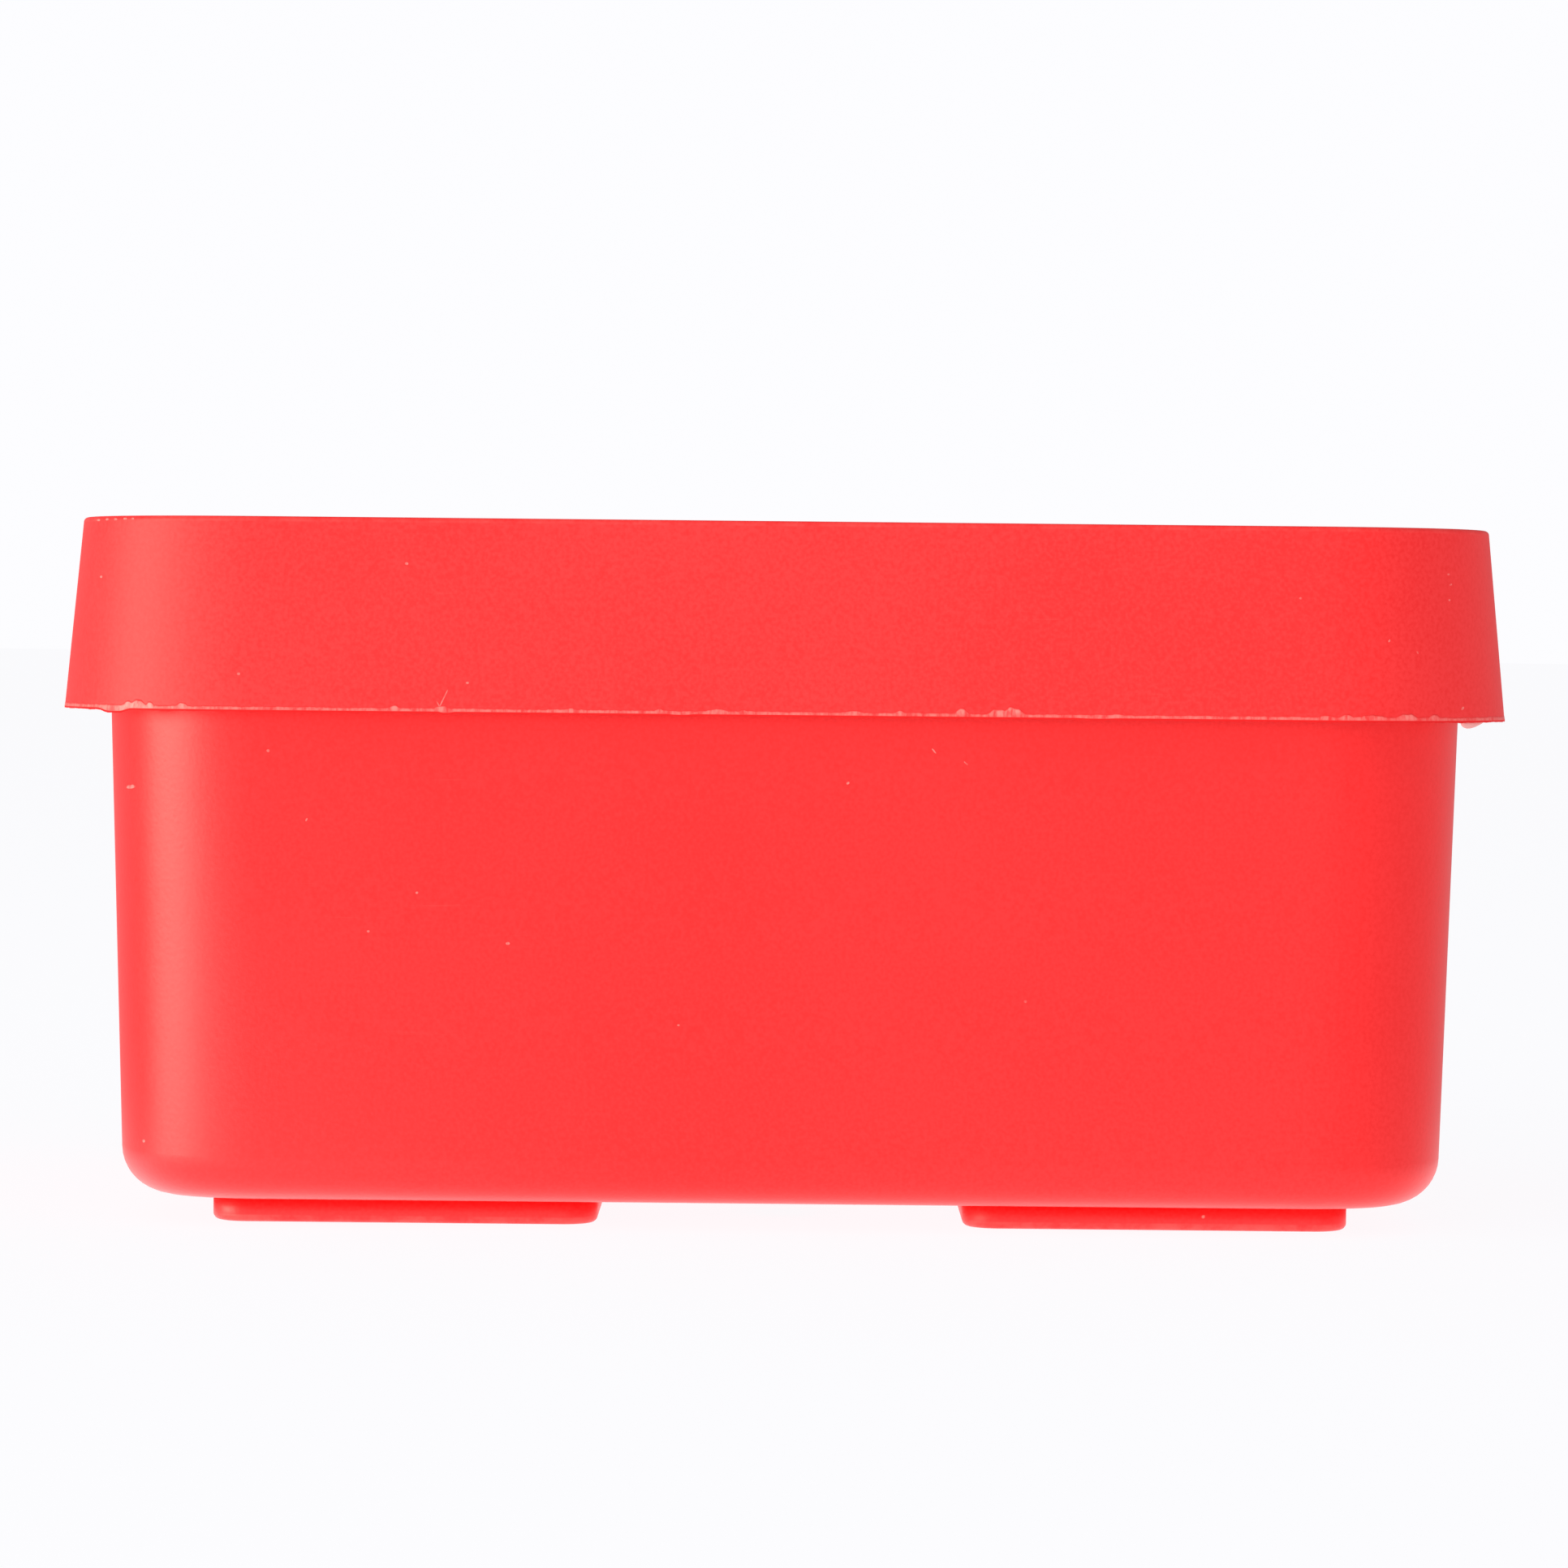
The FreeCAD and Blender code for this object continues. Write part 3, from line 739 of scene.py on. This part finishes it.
flash = dict(
    step=0.45 * mm,
    line=0.9 * mm,               # height of the pale line along the edge
    hang=0.14 * mm,              # how far it hangs below, on average
    seed=7,
    # Torn patches on the front: middle along X, half length, extra height
    patches=((-127, 0.7, 0.9), (-125, 1.3, 1.2), (-122.5, 0.7, 0.8), (-116, 0.9, 0.9), (-75, 0.7, 0.9),
             (-66, 1.2, 0.7), (-41, 0.7, 0.4), (-24, 0.6, 0.4), (-13, 1.8, 0.5), (-8, 0.6, 0.4),
             (13, 1.6, 0.4), (22, 0.6, 0.6), (34, 1.1, 1.2), (41, 1.5, 1.3), (44, 1.7, 1.7),
             (64, 0.8, 0.3), (104, 1.4, 0.5), (108, 0.9, 0.7), (113, 2.2, 0.6), (120, 1.6, 0.9),
             (125.5, 0.9, 0.7)),
    # Places on the front where it hangs lower: middle, half length, depth
    hangs=((-130, 2.6, 0.6), (-65, 1.2, 0.2), (-20, 2.0, 0.15), (60, 3.0, 0.1)),
    # Tongue of film under one corner: where it starts and ends, in degrees round the corner
    blob=dict(start=-45.5, end=-32.0, depth=1.7 * mm, thickness=0.9 * mm, behindFace=0.6 * mm, taper=0.75),
)


def bumps(x, places):
    # Highest of several flat-topped bumps along X, each as (middle, half length, height) in mm.
    heights = [np.exp(-((x / mm - middle) / half) ** 4) * height * mm for middle, half, height in places]
    return np.max(heights, axis=0)


def seededBumps(along, count, seed):
    # Bumps at seeded places round the whole edge.
    random = np.random.default_rng(seed)
    height = np.zeros(len(along))
    for middle, halfLength, extra in random.random((count, 3)):
        away = (along - middle * along[-1]) / ((0.5 + 1.6 * halfLength) * mm)
        height = np.maximum(height, np.exp(-away ** 4) * extra ** 2 * 1.2 * mm)
    return height


def raggedness(along, seed, finest=0.9 * mm):
    # Sum of sine waves, each shorter and weaker than the last, from 0 to 1.
    random = np.random.default_rng(seed)
    total = np.zeros(len(along))
    for i in range(7):
        length = finest * 1.8 ** i
        total += np.sin(2 * math.pi * (along / length + random.random())) * (0.5 + 0.5 * random.random())
    return (total - total.min()) / (total.max() - total.min())


def flashFilm():
    # Film round the skirt's lower edge: nine points across it, whose heights change along the edge.
    places, directions = cratePath(140, flash["step"])
    edgeLine = places + skirtOutside(skirtBottom) * directions
    along = np.concatenate([[0], np.cumsum(np.linalg.norm(np.diff(edgeLine, axis=0), axis=1))])
    front = edgeLine[:, 1] < -coreY
    patch = np.where(front, bumps(edgeLine[:, 0], flash["patches"]), seededBumps(along, 60, flash["seed"]))
    low = np.where(front, bumps(edgeLine[:, 0], flash["hangs"]), 0)
    rough, fine = [raggedness(along, flash["seed"] + i) for i in (1, 2)]
    top = skirtBottom + flash["line"] * (0.8 + 0.4 * rough) + patch * (0.5 + 0.5 * fine)
    tip = skirtBottom - flash["hang"] * (0.2 + 1.6 * raggedness(along, flash["seed"] + 3)) - low
    skin, sunk = collar["faceInset"], 0.3 * mm
    upper, middle = skirtBottom + (top - skirtBottom) * 0.8, skirtBottom + (top - skirtBottom) * 0.5

    def out(z, proud):
        return skirtFace(np.maximum(z, skirtBottom)) + proud

    # Paleness above 0 is the film's thin pale look; the rows at -1 on the underside mark painted shade, a
    # darker red for the shadow under the edge.
    across = [                       # distance out, height, paleness
        (out(top, -sunk), top, 0),
        (out(top, 0.2 * skin), top, 0),
        (out(upper, 0.7 * skin), upper, 0.5 + 0.2 * patch / mm),
        (out(middle, 0.9 * skin), middle, 0.6 + 0.15 * patch / mm),
        (out(tip, 0.9 * skin), skirtBottom + 0.26 * mm - low, 0.55),
        (out(tip, 0.9 * skin), skirtBottom + 0.18 * mm - low, -1),
        (out(tip, 0.6 * skin), tip, -1),
        (out(tip, -0.1 * mm), tip, -1),
        (out(tip, -sunk), skirtBottom + np.full(len(tip), 0.1 * mm), -1),
    ]
    rows = [np.column_stack([places + distance[:, None] * directions, z]) for distance, z, _ in across]
    pale = [np.broadcast_to(np.clip(value, -1, 1), len(places)) for _, _, value in across]
    faces = gridFaces(len(places), len(across), True, True)
    return surface(np.stack(rows, 1).reshape(-1, 3), faces, np.stack(pale, 1).ravel())


def hangingBlob():
    # An oval section carried along the edge, deepest near its start.
    blob = flash["blob"]
    share = (1 - np.cos(np.linspace(0, math.pi, 25))) / 2
    angle = np.radians(blob["start"] + (blob["end"] - blob["start"]) * share)
    depth = blob["depth"] * np.sqrt(np.clip(4 * share * (1 - share), 0, 1)) * (1 - blob["taper"] * share)
    turn = np.linspace(0, 2 * math.pi, 17)[:-1]
    half = blob["thickness"] / 2 * np.sqrt(depth / blob["depth"])
    out = skirtOutside(skirtBottom) - blob["behindFace"] + half[:, None] * np.cos(turn)
    z = skirtBottom - depth[:, None] / 2 + (depth[:, None] / 2 + 0.1 * mm) * np.sin(turn)
    place = np.array((coreX, -coreY)) + cornerShift(angle, tub["cornerBulge"])
    x = place[:, :1] + out * np.cos(angle)[:, None]
    y = place[:, 1:] + out * np.sin(angle)[:, None]
    return surface(np.stack([x, y, z], 2).reshape(-1, 3), gridFaces(len(share), len(turn), False, True))


makePiece("skirtFlash", flashFilm(), "crate", flashFinish)
makePiece("hangingFilm", hangingBlob(), "crate", thinFilmFinish)

specks = dict(
    # On the front: across, height, length, width, all in mm, and degrees from level
    tub=((-100, 93.6, 0.6, 0.5, 0), (12.4, 88.4, 0.6, 0.4, 40), (29, 94.8, 1.1, 0.25, 130),
         (35.2, 92.5, 0.9, 0.25, 140), (47.3, 46.3, 0.6, 0.5, 0), (-71, 66.3, 0.5, 0.4, 20),
         (-53.3, 56.6, 0.7, 0.5, 0), (-92.5, 80.3, 0.6, 0.3, 60), (-80.4, 58.7, 0.5, 0.4, 0),
         (-128, 86, 1.8, 0.6, 10), (-125, 16.5, 0.5, 0.5, 0), (-20, 41, 0.5, 0.3, 0)),
    skirt=((-133.5, 127, 0.5, 0.4, 0), (-105, 108.5, 0.5, 0.4, 0), (-73, 130, 0.6, 0.5, 0),
           (-61, 107.2, 0.5, 0.4, 0), (99, 125, 0.5, 0.4, 0), (131.5, 104, 0.7, 0.4, 50),
           (-65.5, 104.2, 3.2, 0.22, 65), (-66.5, 103, 1.4, 0.22, 120), (-134.6, 138.1, 0.8, 0.4, 0),
           (-132.4, 138.2, 0.6, 0.4, 0), (-130.6, 138.2, 0.7, 0.4, 0), (-128.4, 138.3, 0.6, 0.3, 0),
           (-126.8, 138.3, 0.5, 0.3, 0), (128.5, 130, 0.4, 0.3, 0), (129, 128, 0.5, 0.3, 30),
           (128.7, 125, 0.4, 0.3, 0), (116.3, 117, 0.5, 0.3, 60), (122, 114.8, 0.5, 0.25, 120)),
    proud=0.03 * mm,
    scale=1.25 * mm,         # length and width are multiplied by this
)


def frontFace(x, out):
    # How far in front of the middle the face at this distance out lies, at each place across.
    places, directions = cratePath(60, 20 * mm)
    line = (places + out * directions)[directions[:, 1] < -0.1]
    line = line[np.argsort(line[:, 0])]
    return np.interp(x, line[:, 0], -line[:, 1])


def speck(x, z, length, width, lean, out):
    # Low dome on the front face: rings of a disc stretched to an ellipse, highest in the middle.
    reach = np.linspace(1, 0, 4)[:, None]
    turn = np.linspace(0, 2 * math.pi, 13)[:-1]
    lean = math.radians(lean)
    a, b = reach * length / 2 * np.cos(turn), reach * width / 2 * np.sin(turn)
    across = x + a * math.cos(lean) - b * math.sin(lean)
    height = z + a * math.sin(lean) + b * math.cos(lean)
    rise = specks["proud"] * (1 - reach ** 2) - 0.005 * mm + out(height) - out(z)
    points = np.stack([across, -frontFace(across, out(z)) - rise, height], 2).reshape(-1, 3)
    return surface(points, gridFaces(len(reach), len(turn), False, True), np.full(len(points), 0.7))


def speckSurfaces(places, out):
    scale = specks["scale"]
    return [speck(x * mm, z * mm, length * scale, width * scale, lean, out)
            for x, z, length, width, lean in places]


makePiece("tubSpecks", joined(speckSurfaces(specks["tub"], tubOutside)), "crate", flashFinish)
makePiece("skirtSpecks", joined(speckSurfaces(specks["skirt"], skirtFace)), "crate", flashFinish)


# Dividers
divider = dict(
    endGap=0.5 * mm,
    sideGap=0.25 * mm,
    topRound=5 * mm,
    scallopRadius=45 * mm,
    scallopDepth=10 * mm,
    scallopEase=6 * mm,
    drainNotch=6 * mm,
    crossingGap=0.3 * mm,
    edgeRound=0.45 * mm,
)
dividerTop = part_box("divider_long")[1].z


def arcPoints(u, v, radius, start, end, steps):
    angles = np.radians(np.linspace(start, end, steps + 1))
    return np.column_stack([u + radius * np.cos(angles), v + radius * np.sin(angles)])


def scallopLine(u):
    # One dip of the top edge, from right to left, with an arc at each end that turns the other way.
    radius, ease = divider["scallopRadius"], divider["scallopEase"]
    middleV = dividerTop - divider["scallopDepth"] + radius
    easeV = dividerTop - ease
    spread = math.sqrt((radius + ease) ** 2 - (middleV - easeV) ** 2)
    lean = math.degrees(math.atan2(middleV - easeV, spread))
    return np.vstack([
        arcPoints(u + spread, easeV, ease, 90, 180 - lean, 6),
        arcPoints(u, middleV, radius, -lean, lean - 180, 24),
        arcPoints(u - spread, easeV, ease, lean, 90, 6),
    ])


def dividerOutline(core, middles, slots, slotsOpenUp):
    # Rounded corners, a notch at each cell's drain below, a dip above each cell, and the half-lap slots.
    lowHalf = core + tubInside(floorTop) - divider["endGap"]
    highHalf = core + tubInside(dividerTop) - divider["endGap"]
    footRound = tub["baseFillet"] - tub["wall"] + 2 * divider["endGap"]
    ends, _ = rounded([
        (-lowHalf, floorTop, footRound),
        (lowHalf, floorTop, footRound),
        (highHalf, dividerTop, divider["topRound"]),
        (-highHalf, dividerTop, divider["topRound"]),
    ], arcStep=10)
    count = len(ends) // 2
    low, high = ends[:count], ends[count:]
    crossing = (floorTop + dividerTop) / 2
    half = dividerThickness / 2 + divider["sideGap"]
    bottom = [arcPoints(u, floorTop, divider["drainNotch"], 180, 0, 14) for u in middles]
    top = [scallopLine(u) for u in middles]
    if slotsOpenUp:
        deep = crossing - divider["crossingGap"] / 2
        top += [np.array([(u + half, dividerTop), (u + half, deep), (u - half, deep),
                          (u - half, dividerTop)]) for u in slots]
    else:
        deep = crossing + divider["crossingGap"] / 2
        bottom += [np.array([(u - half, floorTop), (u - half, deep), (u + half, deep),
                             (u + half, floorTop)]) for u in slots]
    bottom.sort(key=lambda run: run[:, 0].mean())
    top.sort(key=lambda run: -run[:, 0].mean())
    return np.vstack([low[low[:, 0] < 0], *bottom, low[low[:, 0] > 0],
                      high[high[:, 0] > 0], *top, high[high[:, 0] < 0]])


def makeDividers():
    longOutline = dividerOutline(coreX, (-cellPitch, 0, cellPitch), crossPlaces, True)
    crossOutline = dividerOutline(coreY, (-cellPitch / 2, cellPitch / 2), [0.0], False)
    longBoard = board(longOutline, dividerThickness, divider["edgeRound"])
    crossBoard = placed(board(crossOutline, dividerThickness, divider["edgeRound"]), 90)
    makePiece("dividerLong", longBoard, "divider_long", dividerFinish,
              ["divider_long"])
    for side, x in zip(("left", "right"), crossPlaces):
        node = "divider_cross_" + side
        makePiece("dividerCross" + side.capitalize(), placed(crossBoard, x=x), node, dividerFinish,
                  [node])


makeDividers()


# Feet
def footPiece(centre):
    # Ring, crossed ribs and the stakes with their heads, all about the foot's own middle.
    halfX, halfY = (footHigh.x - footLow.x) / 2, (footHigh.y - footLow.y) / 2
    outer, inner = foot["cornerRadius"], foot["cornerRadius"] - foot["wall"]
    slim = foot["edgeRound"]
    profile, edges = rounded([
        (inner, underside, 0),
        (inner, footLow.z, slim),
        (outer, footLow.z, foot["bottomRound"]),
        (outer, underside, 0),
    ], arcStep=12)
    path = rectPath(halfX - outer, halfY - outer, cornerSteps=12, sideStep=6 * mm)
    ring = carried(profile, edges, path)
    low = footLow.z + foot["ribRise"]
    pieces = [ring]
    for length, turn, bottom in ((halfX, 0, low), (halfY, 90, low + foot["crossRise"])):
        rib = block(2 * length - foot["wall"], underside - bottom, foot["rib"], 0, (underside + bottom) / 2)
        pieces.append(placed(rib, turn))
    headWidth = stake["width"] + 2 * stake["headOver"]
    headLength = stake["length"] + 2 * stake["headOver"]
    stemLow, stemHigh = low + stake["stemRise"], floorTop - stake["headHeight"] / 2
    for x, y in stakePlaces(centre):
        stem = block(stake["length"], stemHigh - stemLow, stake["width"], 0, (stemHigh + stemLow) / 2)
        head = block(headLength, stake["headHeight"], headWidth, 0, floorTop - stake["headHeight"] / 2,
                     edgeRound=0.3 * mm, hold=0.1 * mm)
        pieces += [placed(part, x=x - centre.x, y=y - centre.y) for part in (stem, head)]
    return placed(joined(pieces), x=centre.x, y=centre.y)


for footNode in footNodes:
    words = footNode.split("_")
    pieceName = words[0] + "".join(word.capitalize() for word in words[1:])
    makePiece(pieceName, footPiece(footCentres[footNode]), "crate", footFinish,
              [footNode])


# Stage
stageLight = dict(
    # Brightness of floor and world: as light, in reflections and straight to the camera
    floor=dict(lighting=1.15, mirrored=0.5, seen=0.94),
    world=dict(lighting=0.53, mirrored=0.4, seen=1.0),
    # Lit patches of the table, in reflections only: round the crate, and below the key light
    nearFloor=dict(extra=0.9, full=0.15, gone=0.28),
    keyFloor=dict(extra=4.5, full=0.5, gone=1.1, middle=(-0.35, -0.29), turn=36, size=(0.34, 0.17)),
    tone=(0.98, 0.98, 1.0),      # colour of both
)


def glowStrength(tree, lighting, mirrored, seen):
    # Also gives the value that is 1 for a reflected ray.
    path = tree.nodes.new("ShaderNodeLightPath")
    glossy = maths(tree, "MULTIPLY", path.outputs["Is Glossy Ray"], mirrored - lighting)
    direct = maths(tree, "MULTIPLY", path.outputs["Is Camera Ray"], seen - lighting)
    both = maths(tree, "ADD", maths(tree, "ADD", glossy, direct), lighting)
    return both, path.outputs["Is Glossy Ray"]


def litPatch(tree, extra, full, gone, middle=(0, 0), turn=0, size=(1, 1)):
    # An ellipse on the table, full strength inside and fading towards its edge.
    place = addNode(tree, "TexCoord").outputs["Object"]
    links = [("Vector", place), ("Location", (*middle, 0)), ("Scale", (*size, 1))]
    links += [("Rotation", (0, 0, math.radians(turn)))]
    inside = addNode(tree, "Mapping", links, vector_type="TEXTURE").outputs["Vector"]
    away = addNode(tree, "VectorMath", [(0, inside)], operation="LENGTH").outputs["Value"]
    near = maths(tree, "SUBTRACT", 1.0, ramp(tree, away, full, gone))
    return maths(tree, "MULTIPLY", near, extra)


floorDisc = dict(innerRing=0.2, radius=60, rings=12, spokes=96, colour=(0.07, 0.07, 0.072, 1), roughness=0.9)


def makeFloor():
    # Large pale disc that glows like a light table, so shadows on it stay faint.
    angle = np.linspace(0, 2 * math.pi, floorDisc["spokes"] + 1)[:-1]
    radii = np.geomspace(floorDisc["innerRing"], floorDisc["radius"], floorDisc["rings"])
    rings = radii[:, None, None] * np.stack([np.cos(angle), np.sin(angle)], 1)
    points = np.concatenate([rings, np.zeros(rings.shape[:2] + (1,))], 2).reshape(-1, 3)
    faces = gridFaces(len(radii), len(angle), False, True)[:, ::-1].tolist()
    mesh = bpy.data.meshes.new("floor")
    mesh.from_pydata(points.tolist(), [], faces + [list(range(len(angle)))])
    paper, tree, shader = newMaterial("palePaper")
    shader.inputs["Base Color"].default_value = floorDisc["colour"]
    shader.inputs["Roughness"].default_value = floorDisc["roughness"]
    shader.inputs["Specular IOR Level"].default_value = 0.0
    shader.inputs["Emission Color"].default_value = (*stageLight["tone"], 1)
    glow, glossy = glowStrength(tree, **stageLight["floor"])
    patches = [litPatch(tree, **stageLight[name]) for name in ("nearFloor", "keyFloor")]
    table = maths(tree, "MULTIPLY", glossy, maths(tree, "ADD", *patches))
    tree.links.new(maths(tree, "ADD", glow, table), shader.inputs["Emission Strength"])
    mesh.materials.append(paper)
    floor = bpy.data.objects.new("floor", mesh)
    bpy.context.scene.collection.objects.link(floor)


def makeWorld():
    world = bpy.data.worlds.new("studio")
    world.use_nodes = True
    background = world.node_tree.nodes["Background"]
    background.inputs["Color"].default_value = (*stageLight["tone"], 1)
    glow, _ = glowStrength(world.node_tree, **stageLight["world"])
    world.node_tree.links.new(glow, background.inputs["Strength"])
    bpy.context.scene.world = world


makeFloor()
makeWorld()


def softLight(name, place, aim, size, power, colour=(1, 1, 1)):
    lamp = bpy.data.lights.new(name, "AREA")
    lamp.shape = "RECTANGLE"
    lamp.size, lamp.size_y = size
    lamp.energy = power
    lamp.color = colour
    made = bpy.data.objects.new(name, lamp)
    made.location = place
    made.rotation_euler = (Vector(aim) - made.location).to_track_quat("-Z", "Y").to_euler()
    bpy.context.scene.collection.objects.link(made)


lights = dict(
    key=dict(place=(-2.19, -1.03, 0.33), aim=(0, 0, 0.07), size=(1.65, 0.66), power=49,
             colour=(1.0, 0.96, 0.8)),
    brow=dict(place=(-0.3, -1.7, 1.7), aim=(0, 0, 0.07), size=(2.0, 1.0), power=7),
    low=dict(place=(-0.4, -2.4, 0.3), aim=(0, 0, 0.07), size=(3.0, 0.5), power=5),
)
for lightName, values in lights.items():
    softLight(lightName, **values)
bpy.context.scene.view_settings.view_transform = "Standard"

view = dict(lens=126.73, sensor=36.0, place=(0.0, -1.1596, 0.11705), down=1.55, roll=0.565, near=0.05, far=30)
camera = bpy.data.cameras.new("camera")
camera.lens, camera.sensor_width = view["lens"], view["sensor"]
camera.clip_start, camera.clip_end = view["near"], view["far"]
cameraObject = bpy.data.objects.new("camera", camera)
tilt = Matrix.Rotation(math.radians(90 - view["down"]), 4, "X")
roll = Matrix.Rotation(math.radians(view["roll"]), 4, "Z")
cameraObject.matrix_world = Matrix.Translation(view["place"]) @ tilt @ roll
bpy.context.scene.collection.objects.link(cameraObject)
bpy.context.scene.camera = cameraObject
print("stage, lights and camera made")
